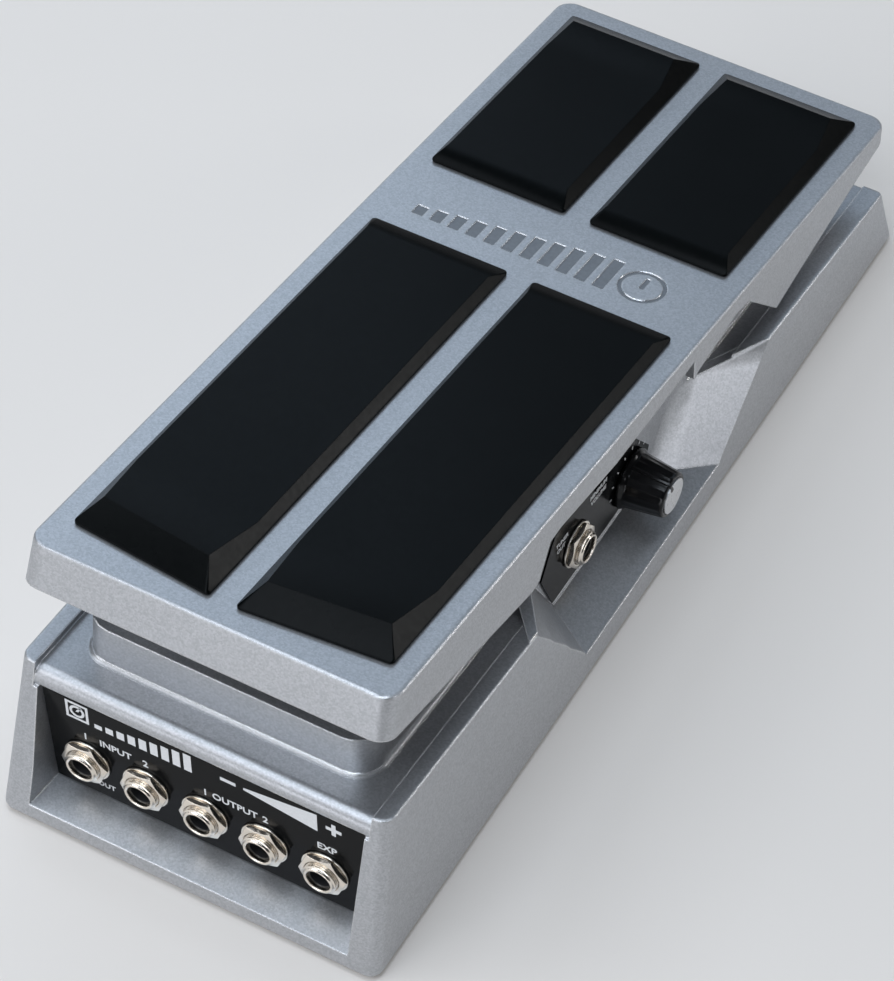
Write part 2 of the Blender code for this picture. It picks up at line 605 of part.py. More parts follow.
def build_treadle(frame, finish):
    body = add_object("treadle", treadle_block(TREADLE_HALF, TREADLE_TOE, TREADLE_HEEL, TREADLE_CORNER,
                                               TREADLE_TOP, 30.0, 1.0), frame, finish)
    hollow = treadle_block(TREADLE_HALF - TREADLE_WALL, TREADLE_TOE + TREADLE_WALL, TREADLE_HEEL - TREADLE_WALL,
                           TREADLE_CORNER - TREADLE_WALL, TREADLE_TOP - TREADLE_PLATE, 40.0, 1.0)
    combine(body, add_object("treadle_hollow_cut", hollow, frame), "DIFFERENCE")
    combine(body, add_object("under_skirt_cut", under_skirt(), frame), "DIFFERENCE")
    marks, dial_place = treadle_marks()
    combine(body, add_object("marks_cut", marks, frame), "DIFFERENCE")
    ring = tube(MARK_TALL / 2, MARK_TALL / 2 - 1.0, -MARK_DEPTH, MARK_DEPTH, along_z, 40)
    combine(body, add_object("dial_cut", ring, frame, place=dial_place), "DIFFERENCE")
    for side in (-1, 1):
        inner, outer = sorted((side * 23.0, side * 28.5))
        top = TREADLE_TOP - TREADLE_PLATE + 1.0
        profile = [(8.0, top), (-8.0, top)] + arc((0, 0), 8.0, 180, 360, 12)
        combine(body, add_object("lug_join", across(profile, inner, outer), frame), "UNION")
        hole = rod(SHAFT_RADIUS + GAP, inner - 2, outer + 2, along_x)
        combine(body, add_object("lug_hole_cut", hole, frame), "DIFFERENCE")


PAD_HALF, PAD_INNER = 44.3, 3.7          # a pad's outer and inner side, from the middle
PAD_EDGE = 0.6                           # height of the upright edge round a pad
BEVEL_RUN = 0.885                        # how far the side bevels run inwards, per mm of their height
PAD_CORNER = 1.2
PAD_SHAPES = {                           # toe edge at the inner side, at the outer side, heel edge, (u, height)
    "toe": (6.8, 10.7, 154.0, ((7.0, 5.0), (25.7, 2.5), (139.7, 2.3))),
    "heel": (184.5, 184.5, 265.5, ((5.8, 2.7), (60.0, 2.9), (72.1, 5.1)))}


def pad(sign, toe_inner, toe_outer, heel, stations):
    """Bevelled pad that is thickest at one end; the stations are measured from its toe edge."""
    bm = bmesh.new()
    base = TREADLE_TOP + GAP
    outline = ((PAD_INNER, toe_inner), (PAD_HALF, toe_outer), (PAD_HALF, heel), (PAD_INNER, heel))
    low, edge = ([bm.verts.new((sign * x, TREADLE_TOE + u, z)) for x, u in outline] for z in (base, base + PAD_EDGE))
    sides = ([], [])
    for u, height in stations:
        inset = BEVEL_RUN * height
        skew = 1.0 - u / (heel - toe_inner)
        z = base + PAD_EDGE + height
        for points, x, toe in ((sides[0], PAD_INNER + inset, toe_inner), (sides[1], PAD_HALF - inset, toe_outer)):
            back = TREADLE_TOE + toe_inner + (toe - toe_inner) * skew + u
            points.append(bm.verts.new((sign * x, back, z)))
    inner, outer = sides
    bm.faces.new(low)
    for i in range(4):
        j = (i + 1) % 4
        bm.faces.new((low[i], low[j], edge[j], edge[i]))
    bm.faces.new((edge[0], edge[1], outer[0], inner[0]))
    bm.faces.new((edge[2], edge[3], inner[-1], outer[-1]))
    bm.faces.new([edge[1], edge[2]] + outer[::-1])
    bm.faces.new([edge[3], edge[0]] + inner)
    for i in range(len(stations) - 1):
        bm.faces.new((inner[i], outer[i], outer[i + 1], inner[i + 1]))
    corners = [e for e in bm.edges if abs(e.verts[0].co.z - e.verts[1].co.z) > 0.9 * PAD_EDGE
               and e.calc_length() < 1.01 * PAD_EDGE]
    bmesh.ops.bevel(bm, geom=corners, offset=PAD_CORNER, segments=3, profile=0.5, affect="EDGES")
    return bm


def build_pads(frame, rubber):
    """Four rubber pads with bevelled edges on the treadle's top face."""
    for end, shape in PAD_SHAPES.items():
        for side, sign in (("left", -1), ("right", 1)):
            add_object(f"{end}_pad_{side}", pad(sign, *shape), frame, rubber)


def build_stops(frame, rubber):
    """Rubber blocks on the hump that the treadle's underside meets at each end of its travel."""
    for side, sign in (("left", -1), ("right", 1)):
        toe = turned([(0.0, 0.0), (0.0, 5.0), (2.2, 4.6), (2.2, 0.0)], 20, along_z)
        add_object(f"toe_stop_{side}", toe, frame, rubber, (sign * 28.0, 36.0, HUMP_Z[0] + GAP))


# ---------------------------------------------------------------- hinge, gear and potentiometer
def build_hinge(frame, treadle_frame, steel, nylon):
    add_object("hinge_shaft", rod(SHAFT_RADIUS, -37.8, 37.8, along_x), treadle_frame, steel)
    for side, (start, end) in (("left", (-37.9, -32.8)), ("right", (32.8, 37.9))):
        bush = tube(6.0, SHAFT_RADIUS + GAP, start, end, along_x)
        add_object(f"hinge_bush_{side}", bush, frame, nylon, (0, *PIVOT))


def tooth_ring(teeth, phase, first, last, tip, root):
    """Points of a toothed arc: a tooth's flanks lean, and it is a little narrower than its space."""
    pitch = 2 * math.pi / teeth
    points = []
    for i in range(first, last):
        middle = phase + i * pitch
        for offset, radius in ((-0.25, root), (-0.11, tip), (0.11, tip), (0.25, root)):
            a = middle + offset * pitch * 0.9
            points.append((radius * math.cos(a), radius * math.sin(a)))
    return points


def mesh_place():
    """y, z of the pinion's axis in the housing frame."""
    reach = MODULE * (SECTOR_TEETH + PINION_TEETH) / 2
    a = math.radians(MESH_ANGLE)
    return (PIVOT[0] - reach * math.cos(a), PIVOT[1] - reach * math.sin(a))


def build_gears(treadle_frame, pinion_frame, frame, nylon, steel, metal, plastic):
    """A toothed sector on the hinge shaft turns the pinion on the volume potentiometer."""
    direction = math.radians(180.0 + MESH_ANGLE - REST_TILT)
    pitch_radius = MODULE * SECTOR_TEETH / 2
    arc_teeth = tooth_ring(SECTOR_TEETH, direction, -4, 3, pitch_radius + 0.75, pitch_radius - 1.05)
    fan_toe = math.atan2(arc_teeth[0][1], arc_teeth[0][0])
    fan_heel = math.atan2(arc_teeth[-1][1], arc_teeth[-1][0])
    hub = [(6.8 * math.cos(a), 6.8 * math.sin(a))
           for a in (fan_heel + 0.6 + i * (2 * math.pi - 1.2 - (fan_heel - fan_toe)) / 12 for i in range(13))]
    sector = add_object("drive_sector", across(arc_teeth + hub, -3.0, 3.0), treadle_frame, nylon)
    hole = rod(SHAFT_RADIUS + GAP, -5, 5, along_x)
    combine(sector, add_object("sector_hole_cut", hole, treadle_frame), "DIFFERENCE")
    a = math.radians(MESH_ANGLE)
    phase = a + math.pi / PINION_TEETH
    radius = MODULE * PINION_TEETH / 2
    ring = tooth_ring(PINION_TEETH, phase, 0, PINION_TEETH, radius + 0.75, radius - 1.05)
    pinion = add_object("pinion", across(ring, -3.4, 3.4), pinion_frame, nylon)
    bore = rod(3.3, -8, 8, along_x, 24)
    combine(pinion, add_object("pinion_bore_cut", bore, pinion_frame), "DIFFERENCE")
    add_object("volume_shaft", rod(3.0, -3.4, 16.0, along_x, 24), pinion_frame, metal)
    y, z = mesh_place()
    pot = [(16.6, 0.0), (16.6, 3.3), (9.0, 3.3), (9.0, 4.6), (12.0, 4.6), (12.0, 9.0), (22.0, 9.0), (22.0, 0.0)]
    add_object("volume_pot", turned(pot, 28, along_x), frame, plastic, (0, y, z))
    face_x, sheet, half, hanger = 10.0, 1.6, 11.0, HUMP_Z[0] - WALL - 0.9
    upright = box((face_x, y - half, z - 9.0), (face_x + sheet, y + half, hanger))
    bracket = add_object("pot_bracket", upright, frame, steel)
    flange = box((face_x, y - half, hanger - sheet), (24.0, y + half, hanger))
    combine(bracket, add_object("bracket_flange_join", flange, frame), "UNION")
    hole = rod(5.0, 5, 15, along_x, 24)
    combine(bracket, add_object("bracket_hole_cut", hole, frame, place=(0, y, z)), "DIFFERENCE")


def build_brake(frame, screw_frame, nylon, steel, metal):
    """A nylon shoe that a screw presses against the hinge shaft, so that the treadle stays where it is put."""
    y, z = PIVOT
    half, depth, shoulder = 8.0, 12.0, 2.0
    saddle = [(y + half, z - depth), (y + half, z - shoulder)]
    saddle += arc((y, z), SHAFT_RADIUS + GAP, -20, -160, 10)
    saddle += [(y - half, z - shoulder), (y - half, z - depth)]
    add_object("brake_shoe", across(saddle, BRAKE_X - 4, BRAKE_X + 4), frame, nylon)
    first, last, under = RIB_Y[0], RIB_Y[1] + RIB_THICK, RIB_FOOT - GAP
    strip = box((BRAKE_X - RIB_HALF, first, under - 1.8), (BRAKE_X + RIB_HALF, last, under))
    bridge = add_object("brake_bridge", strip, frame, steel)
    hole = rod(2.9, 20, 30, along_z, 20)
    combine(bridge, add_object("bridge_hole_cut", hole, frame, place=(BRAKE_X, y, 0)), "DIFFERENCE")
    tip = z - depth - GAP
    screw = [(8.0, 0.0), (8.0, 2.0), (5.0, 2.0), (5.0, 4.0), (9.5, 4.0), (9.5, 2.5), (tip, 2.5), (tip, 0.0)]
    add_object("torque_screw", turned(screw, 20, along_z), screw_frame, metal)


# ---------------------------------------------------------------- assembly
def main():
    clear_scene()
    silver_paint = material("silver_paint", (0.42, 0.44, 0.47), 0.38, 0.7)
    black_rubber = material("black_rubber", (0.015, 0.016, 0.017), 0.6)
    black_label = material("black_label", (0.02, 0.02, 0.022), 0.4)
    nickel = material("nickel", (0.75, 0.72, 0.68), 0.22, 1.0)
    black_plastic = material("black_plastic", (0.02, 0.02, 0.02), 0.35)
    steel = material("steel", (0.5, 0.5, 0.52), 0.4, 1.0)
    nylon = material("nylon", (0.78, 0.78, 0.74), 0.5)
    board_green = material("board_green", (0.03, 0.17, 0.06), 0.5)
    silver_cap = material("silver_cap", (0.7, 0.71, 0.72), 0.3, 1.0)

    housing = empty("housing_frame", (0, -LENGTH / 2, FOOT_DROP))
    treadle = empty("treadle_axis", (0, *PIVOT), housing, REST_TILT)
    knob = empty("knob_axis", (0, *KNOB), housing)
    pinion = empty("pinion_axis", (0, *mesh_place()), housing)
    screw = empty("torque_axis", (BRAKE_X, PIVOT[0], 0), housing)

    build_housing(housing, silver_paint)
    build_underside(housing, steel, black_rubber, nickel)
    build_toe_panel(housing, black_label, nickel, black_plastic, board_green)
    build_side_panel(housing, black_label, nickel, black_plastic)
    build_level_control(housing, knob, nickel, black_plastic, silver_cap, black_plastic)
    build_treadle(treadle, silver_paint)
    build_pads(treadle, black_rubber)
    build_stops(housing, black_rubber)
    build_hinge(housing, treadle, steel, nylon)
    build_gears(treadle, pinion, housing, nylon, steel, nickel, black_plastic)
    build_brake(housing, screw, nylon, steel, nickel)


main()
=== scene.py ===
import json
import math

import bmesh
import bpy
from mathutils import Matrix, Vector


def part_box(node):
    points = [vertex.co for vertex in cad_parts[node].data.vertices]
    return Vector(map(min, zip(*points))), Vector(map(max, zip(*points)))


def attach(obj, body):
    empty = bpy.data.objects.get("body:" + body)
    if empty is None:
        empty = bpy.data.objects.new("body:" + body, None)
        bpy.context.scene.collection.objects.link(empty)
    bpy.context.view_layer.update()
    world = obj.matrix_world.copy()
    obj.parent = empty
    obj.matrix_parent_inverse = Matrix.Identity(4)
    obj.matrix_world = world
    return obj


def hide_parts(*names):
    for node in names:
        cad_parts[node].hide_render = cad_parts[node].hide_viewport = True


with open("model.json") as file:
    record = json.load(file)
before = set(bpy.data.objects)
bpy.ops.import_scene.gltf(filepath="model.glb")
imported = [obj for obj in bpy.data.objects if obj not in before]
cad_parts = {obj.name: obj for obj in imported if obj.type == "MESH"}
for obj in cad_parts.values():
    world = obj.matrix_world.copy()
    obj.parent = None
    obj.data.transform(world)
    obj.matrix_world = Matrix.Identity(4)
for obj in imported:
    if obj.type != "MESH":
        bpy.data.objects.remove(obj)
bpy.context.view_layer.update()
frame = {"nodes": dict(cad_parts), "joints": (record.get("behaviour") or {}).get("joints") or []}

MM = 0.001
NODES = frame["nodes"]


# ---------------------------------------------------------------- node trees
def node(tree, kind, settings=None, out=0, **inputs):
    """Add a node, set its options, fill or link its inputs, and return one of its outputs.

    An input is given by its name, with _ for a space, or as i0, i1 and so on by its number.
    """
    made = tree.nodes.new(kind)
    for key, value in (settings or {}).items():
        setattr(made, key, value)
    for key, value in inputs.items():
        numbered = key[0] == "i" and key[1:].isdigit()
        socket = made.inputs[int(key[1:]) if numbered else key.replace("_", " ")]
        if isinstance(value, bpy.types.NodeSocket):
            tree.links.new(value, socket)
        else:
            socket.default_value = value
    return made.outputs[out]


def shader_of(name, roughness, metallic=0.0, specular=0.5):
    """A new material with its tree, its shader and the object coordinates its patterns are laid out in."""
    made = bpy.data.materials.new(name)
    made.use_nodes = True
    tree = made.node_tree
    shader = tree.nodes["Principled BSDF"]
    shader.inputs["Roughness"].default_value = roughness
    shader.inputs["Metallic"].default_value = metallic
    shader.inputs["Specular IOR Level"].default_value = specular
    place = node(tree, "ShaderNodeTexCoord", out=3)
    return made, tree, shader, place


def noise(tree, place, scale, detail=2.0, roughness=0.5):
    return node(tree, "ShaderNodeTexNoise", Vector=place, Scale=scale, Detail=detail, Roughness=roughness)


def spread(tree, value, low, high, from_low=0.3, from_high=0.7):
    """Map a noise value to a range."""
    return node(tree, "ShaderNodeMapRange", i0=value, i1=from_low, i2=from_high, i3=low, i4=high)


def blend_colours(tree, factor, first, second):
    """Mix two colours, each a constant or another node's output, by a factor from 0 to 1."""
    made = tree.nodes.new("ShaderNodeMix")
    made.data_type = "RGBA"
    tree.links.new(factor, made.inputs[0])
    for socket, value in ((made.inputs[6], first), (made.inputs[7], second)):
        if isinstance(value, bpy.types.NodeSocket):
            tree.links.new(value, socket)
        else:
            socket.default_value = (*value, 1.0)
    return made.outputs[2]


def bump(tree, shader, height, strength, distance, rounding=0.0):
    """Drive the shader's normal with a height, over edges that are rounded by a radius in metres."""
    inputs = {"Height": height, "Strength": strength, "Distance": distance}
    if rounding:
        inputs["Normal"] = node(tree, "ShaderNodeBevel", {"samples": 4}, Radius=rounding)
    tree.links.new(node(tree, "ShaderNodeBump", **inputs), shader.inputs["Normal"])


def edge_mask(tree, radius, low, high):
    """1 where the surface turns sharply within a radius, 0 on the flat."""
    bent = node(tree, "ShaderNodeBevel", {"samples": 4}, Radius=radius)
    flat = node(tree, "ShaderNodeNewGeometry", out=1)
    dot = node(tree, "ShaderNodeVectorMath", {"operation": "DOT_PRODUCT"}, out=1, i0=bent, i1=flat)
    return node(tree, "ShaderNodeMapRange", i0=dot, i1=1.0 - low, i2=1.0 - high, i3=0.0, i4=1.0)


# ---------------------------------------------------------------- materials
def silver_paint():
    """Satin silver paint: fine metallic flake under a little orange peel, with a painted highlight along sharp
    edges, which are painted near-white and made glossier.
    """
    made, tree, shader, place = shader_of("silver_paint_finish", 0.36, 0.85)
    cells = node(tree, "ShaderNodeTexVoronoi", Vector=place, Scale=2300.0, out=1)
    flake = node(tree, "ShaderNodeSeparateColor", Color=cells)
    cloud = noise(tree, place, 30.0, 1.0)
    grain = node(tree, "ShaderNodeMath", {"operation": "MULTIPLY_ADD"}, i0=cloud, i1=0.15,
                 i2=spread(tree, flake, 0.1, 0.8, 0.0, 1.0))
    body = blend_colours(tree, grain, (0.375, 0.385, 0.40), (0.53, 0.54, 0.56))
    # painted highlight: sharp edges are blended towards near-white and made glossier, standing in for light
    # caught by rounded edges
    painted_edge_highlight = edge_mask(tree, 0.0007, 0.06, 0.2)
    tree.links.new(blend_colours(tree, painted_edge_highlight, body, (0.93, 0.935, 0.945)), shader.inputs["Base Color"])
    satin = spread(tree, noise(tree, place, 1400.0, 2.0), 0.345, 0.375)
    sheen = node(tree, "ShaderNodeMath", {"operation": "MULTIPLY_ADD"}, i0=painted_edge_highlight, i1=-0.2, i2=satin)
    tree.links.new(sheen, shader.inputs["Roughness"])
    peel = noise(tree, place, 1500.0, 3.0, 0.65)
    bump(tree, shader, peel, 0.14, 0.00012, 0.0006)
    return made


def black_rubber():
    """Smooth matt rubber of the pads, feet and stops."""
    made, tree, shader, place = shader_of("black_rubber_finish", 0.24, 0.0, 0.06)
    cloud = noise(tree, place, 90.0, 5.0)
    tree.links.new(blend_colours(tree, cloud, (0.0008, 0.0012, 0.0013), (0.0018, 0.0024, 0.0025)),
                   shader.inputs["Base Color"])
    tree.links.new(spread(tree, noise(tree, place, 600.0, 4.0), 0.22, 0.27), shader.inputs["Roughness"])
    bump(tree, shader, noise(tree, place, 1300.0, 4.0, 0.6), 0.12, 0.0001, 0.00035)
    return made


def black_label():
    """Glossy black sheet behind the jacks."""
    made, tree, shader, place = shader_of("black_label_finish", 0.12, 0.0, 0.06)
    cloud = noise(tree, place, 60.0, 3.0)
    tree.links.new(blend_colours(tree, cloud, (0.003, 0.0033, 0.0036), (0.006, 0.0064, 0.0068)),
                   shader.inputs["Base Color"])
    tree.links.new(spread(tree, noise(tree, place, 700.0, 3.0), 0.1, 0.22), shader.inputs["Roughness"])
    bump(tree, shader, noise(tree, place, 800.0, 2.0), 0.05, 0.0001)
    return made


def nickel():
    """Bright nickel plating of the jacks."""
    made, tree, shader, place = shader_of("nickel_finish", 0.2, 1.0)
    tree.links.new(blend_colours(tree, noise(tree, place, 160.0, 4.0), (0.74, 0.67, 0.58), (0.92, 0.86, 0.77)),
                   shader.inputs["Base Color"])
    tree.links.new(spread(tree, noise(tree, place, 900.0, 3.0), 0.13, 0.27), shader.inputs["Roughness"])
    bump(tree, shader, noise(tree, place, 700.0, 3.0), 0.06, 0.0001, 0.00022)
    return made


def black_plastic():
    """Polished plastic of the knob."""
    made, tree, shader, place = shader_of("black_plastic_finish", 0.13, 0.0, 0.3)
    cloud = noise(tree, place, 200.0, 3.0)
    tree.links.new(blend_colours(tree, cloud, (0.003, 0.003, 0.0035), (0.007, 0.007, 0.0075)),
                   shader.inputs["Base Color"])
    tree.links.new(spread(tree, noise(tree, place, 900.0, 3.0), 0.11, 0.17), shader.inputs["Roughness"])
    bump(tree, shader, noise(tree, place, 1500.0, 2.0), 0.05, 0.0001, 0.0003)
    return made


def moulded_plastic():
    """Matt plastic of the jacks' cases."""
    made, tree, shader, place = shader_of("moulded_plastic_finish", 0.45)
    cloud = noise(tree, place, 120.0, 3.0)
    tree.links.new(blend_colours(tree, cloud, (0.012, 0.012, 0.013), (0.024, 0.024, 0.026)),
                   shader.inputs["Base Color"])
    tree.links.new(spread(tree, noise(tree, place, 500.0, 3.0), 0.38, 0.55), shader.inputs["Roughness"])
    bump(tree, shader, noise(tree, place, 2200.0, 3.0), 0.2, 0.0001, 0.0003)
    return made


def brushed_steel(name, first, second, along):
    """Steel sheet with brush lines along one axis."""
    made, tree, shader, place = shader_of(name, 0.35, 1.0)
    squeeze = [1.0 if axis == along else 60.0 for axis in "xyz"]
    lines = node(tree, "ShaderNodeMapping", Vector=place, Scale=squeeze)
    brush = noise(tree, lines, 40.0, 4.0, 0.6)
    tree.links.new(blend_colours(tree, brush, first, second), shader.inputs["Base Color"])
    tree.links.new(spread(tree, brush, 0.28, 0.46), shader.inputs["Roughness"])
    bump(tree, shader, brush, 0.12, 0.0001, 0.0003)
    return made


def nylon():
    """Natural nylon of the bushes, the pinion and the friction shoe."""
    made, tree, shader, place = shader_of("nylon_finish", 0.45)
    shader.inputs["Subsurface Weight"].default_value = 0.3
    shader.inputs["Subsurface Scale"].default_value = 0.001
    tree.links.new(blend_colours(tree, noise(tree, place, 180.0, 3.0), (0.66, 0.65, 0.60), (0.80, 0.79, 0.74)),
                   shader.inputs["Base Color"])
    tree.links.new(spread(tree, noise(tree, place, 600.0, 3.0), 0.38, 0.52), shader.inputs["Roughness"])
    bump(tree, shader, noise(tree, place, 1200.0, 3.0), 0.1, 0.0001, 0.0003)
    return made


def circuit_board():
    """Green board with paler tracks."""
    made, tree, shader, place = shader_of("circuit_board_finish", 0.35)
    tracks = node(tree, "ShaderNodeTexBrick", Vector=place, Scale=260.0, out=1)
    paler = blend_colours(tree, noise(tree, place, 150.0, 3.0), (0.012, 0.10, 0.035), (0.025, 0.15, 0.055))
    tree.links.new(blend_colours(tree, tracks, paler, (0.05, 0.24, 0.09)), shader.inputs["Base Color"])
    tree.links.new(spread(tree, noise(tree, place, 500.0, 3.0), 0.28, 0.42), shader.inputs["Roughness"])
    bump(tree, shader, tracks, 0.3, 0.0001)
    return made


def spun_cap():
    """Aluminium disc with fine turning marks round the knob's axis."""
    made, tree, shader, place = shader_of("spun_cap_finish", 0.3, 1.0)
    low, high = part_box("level_knob_cap")
    centre = (low + high) / 2
    moved = node(tree, "ShaderNodeMapping", Vector=place, Location=(0.0, -centre.y, -centre.z),
                 Scale=(0.0, 1.0, 1.0))
    rings = node(tree, "ShaderNodeTexWave", {"wave_type": "RINGS", "rings_direction": "SPHERICAL"}, Vector=moved,
                 Scale=900.0, Distortion=0.4, Detail=2.0)
    tree.links.new(blend_colours(tree, rings, (0.62, 0.63, 0.645), (0.80, 0.805, 0.82)),
                   shader.inputs["Base Color"])
    tree.links.new(spread(tree, noise(tree, place, 800.0, 3.0), 0.26, 0.38), shader.inputs["Roughness"])
    bump(tree, shader, rings, 0.12, 0.00005, 0.0002)
    return made


def white_print():
    """Screen-printed white ink."""
    made, tree, shader, place = shader_of("white_print_finish", 0.5)
    tree.links.new(blend_colours(tree, noise(tree, place, 1500.0, 3.0), (0.62, 0.63, 0.64), (0.82, 0.83, 0.84)),
                   shader.inputs["Base Color"])
    tree.links.new(spread(tree, noise(tree, place, 900.0, 3.0), 0.42, 0.6), shader.inputs["Roughness"])
    bump(tree, shader, noise(tree, place, 2500.0, 2.0), 0.1, 0.00005)
    return made


def mark_paint():
    """Darker satin paint in the engraving."""
    made, tree, shader, place = shader_of("mark_paint_finish", 0.5, 0.4)
    tree.links.new(blend_colours(tree, noise(tree, place, 900.0, 3.0), (0.13, 0.145, 0.16), (0.20, 0.215, 0.235)),
                   shader.inputs["Base Color"])
    tree.links.new(spread(tree, noise(tree, place, 600.0, 3.0), 0.42, 0.56), shader.inputs["Roughness"])
    bump(tree, shader, noise(tree, place, 1500.0, 3.0), 0.12, 0.0001)
    return made


def floor_finish():
    """Plain pale floor."""
    made, tree, shader, place = shader_of("floor_finish", 0.6, 0.0, 0.2)
    tree.links.new(blend_colours(tree, noise(tree, place, 6.0, 3.0), (0.61, 0.575, 0.54), (0.63, 0.595, 0.56)),
                   shader.inputs["Base Color"])
    shader.inputs["Emission Color"].default_value = (1.0, 1.0, 1.0, 1.0)
    shader.inputs["Emission Strength"].default_value = 0.1
    return made


FINISHES = {
    "silver_paint": silver_paint(), "black_rubber": black_rubber(), "black_label": black_label(),
    "nickel": nickel(), "black_plastic": black_plastic(),
    "steel": brushed_steel("steel_finish", (0.42, 0.43, 0.45), (0.62, 0.63, 0.65), "y"),
    "nylon": nylon(), "board_green": circuit_board(), "silver_cap": spun_cap()}
MOULDED = moulded_plastic()
PRINT = white_print()


# ---------------------------------------------------------------- carried-over CAD nodes
SHARP = math.radians(31.0)               # edges that turn by more than this stay sharp
WELD = 0.000002


def smooth_shading():
    """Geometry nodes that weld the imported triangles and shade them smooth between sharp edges."""
    group = bpy.data.node_groups.new("smooth_shading", "GeometryNodeTree")
    group.interface.new_socket("Geometry", in_out="INPUT", socket_type="NodeSocketGeometry")
    group.interface.new_socket("Geometry", in_out="OUTPUT", socket_type="NodeSocketGeometry")
    start = group.nodes.new("NodeGroupInput").outputs[0]
    plain = node(group, "GeometryNodeRemoveAttribute", Geometry=start, Name="custom_normal")
    welded = node(group, "GeometryNodeMergeByDistance", Geometry=plain, Distance=WELD)
    smooth = node(group, "GeometryNodeSetShadeSmooth", {"domain": "FACE"}, Geometry=welded, Shade_Smooth=True)
    angle = node(group, "GeometryNodeInputMeshEdgeAngle")
    gentle = node(group, "FunctionNodeCompare", {"data_type": "FLOAT", "operation": "LESS_THAN"}, i0=angle,
                  i1=SHARP)
    creased = node(group, "GeometryNodeSetShadeSmooth", {"domain": "EDGE"}, Geometry=smooth, Shade_Smooth=gentle)
    end = group.nodes.new("NodeGroupOutput")
    group.links.new(creased, end.inputs[0])
    return group


SMOOTH = smooth_shading()


def finish_nodes():
    """Give every carried-over node its shading and its finish."""
    for part in NODES.values():
        part.modifiers.new("smooth_shading", "NODES").node_group = SMOOTH
        part.modifiers.new("even_normals", "WEIGHTED_NORMAL").keep_sharp = True
        for place in part.material_slots:
            place.material = FINISHES[place.material.name]


# ---------------------------------------------------------------- new pieces
def turned(profile, steps):
    """Spin an (along y, radius) outline round the Y axis; it is closed where the radius is 0."""
    bm = bmesh.new()
    rows = []
    for along, radius in profile:
        if radius == 0.0:
            rows.append([bm.verts.new((0.0, along, 0.0))])
            continue
        angles = [2.0 * math.pi * i / steps for i in range(steps)]
        rows.append([bm.verts.new((radius * math.cos(a), along, radius * math.sin(a))) for a in angles])
    pairs = list(zip(rows, rows[1:])) + ([(rows[-1], rows[0])] if profile[0][1] != 0.0 else [])
    for low, high in pairs:
        skin(bm, low, high)
    return bm


def skin(bm, low, high):
    """Faces between two rings; a ring of one point is a pole."""
    count = max(len(low), len(high))
    for i in range(count):
        j = (i + 1) % count
        ring = [low[i % len(low)], low[j % len(low)], high[j % len(high)], high[i % len(high)]]
        corners = [v for k, v in enumerate(ring) if v is not ring[k - 1]]
        bm.faces.new(corners)


def prism(outline, depth, matrix):
    """Extrude a flat (a, b) outline; the matrix puts it in place, in millimetres."""
    bm = bmesh.new()
    low = [bm.verts.new((a, b, 0.0)) for a, b in outline]
    high = [bm.verts.new((a, b, depth)) for a, b in outline]
    skin(bm, low, high)
    bm.faces.new(low[::-1])
    bm.faces.new(high)
    bm.transform(matrix)
    return bm


def merge(parts):
    """Join several bmeshes into the first."""
    whole = parts[0]
    for part in parts[1:]:
        spare = bpy.data.meshes.new("spare")
        part.to_mesh(spare)
        whole.from_mesh(spare)
        part.free()
        bpy.data.meshes.remove(spare)
    return whole


def piece(name, bm, finish, body, matrix=Matrix.Identity(4), replaced=()):
    """Turn a bmesh in millimetres into a piece in the row frame that rides on a body."""
    bm.transform(matrix)
    bmesh.ops.recalc_face_normals(bm, faces=bm.faces)
    bm.transform(Matrix.Scale(MM, 4))
    mesh = bpy.data.meshes.new(name)
    bm.to_mesh(mesh)
    bm.free()
    mesh.shade_smooth()
    mesh.set_sharp_from_angle(angle=SHARP)
    mesh.materials.append(finish)
    made = bpy.data.objects.new(name, mesh)
    bpy.context.scene.collection.objects.link(made)
    made.modifiers.new("even_normals", "WEIGHTED_NORMAL").keep_sharp = True
    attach(made, body)
    if replaced:
        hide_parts(*replaced)
    return made


# ---------------------------------------------------------------- jacks
# places along a jack's axis, measured inwards from its wall's face, and radii
JACK_MOUTH, JACK_CASE_FRONT, JACK_CASE_BACK = -4.8, 3.3, 25.0
SLEEVE_BORE, THREAD_CREST, THREAD_ROOT, THREAD_PITCH = 3.3, 4.75, 4.38, 0.55
NUT_FLATS, NUT_HOLE, NUT_FRONT, NUT_BACK, NUT_TURN = 12.0, 4.82, -3.1, -1.55, math.radians(38.0)
WASHER_OUTER, WASHER_INNER, WASHER_FRONT, WASHER_BACK = 6.65, 4.9, -1.5, -0.8
WASHER_MIDDLE = 1.175                    # from the wall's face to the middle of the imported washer
CASE_HALF, CASE_ROUND, CASE_RIBS, RIB_PITCH, RIB_WIDE = 7.4, 0.6, 4, 4.6, 1.2
LINER_BORE, LINER_OUTER = 2.95, 3.28


def jack_sleeve():
    """Nickel sleeve facing -Y, with its mouth turned over and a thread behind it."""
    y = JACK_MOUTH
    outline = [(y + 0.55, SLEEVE_BORE), (y + 0.18, 3.42), (y, 3.7), (y, 3.98), (y + 0.12, 4.16), (y + 0.38, 4.3)]
    y += 0.5
    while y < JACK_CASE_FRONT - THREAD_PITCH:
        outline += [(y, THREAD_ROOT), (y + 0.2, THREAD_CREST), (y + 0.3, THREAD_CREST), (y + 0.5, THREAD_ROOT)]
        y += THREAD_PITCH
    outline += [(JACK_CASE_FRONT + 0.8, THREAD_ROOT), (JACK_CASE_FRONT + 0.8, SLEEVE_BORE)]
    return turned(outline, 72)


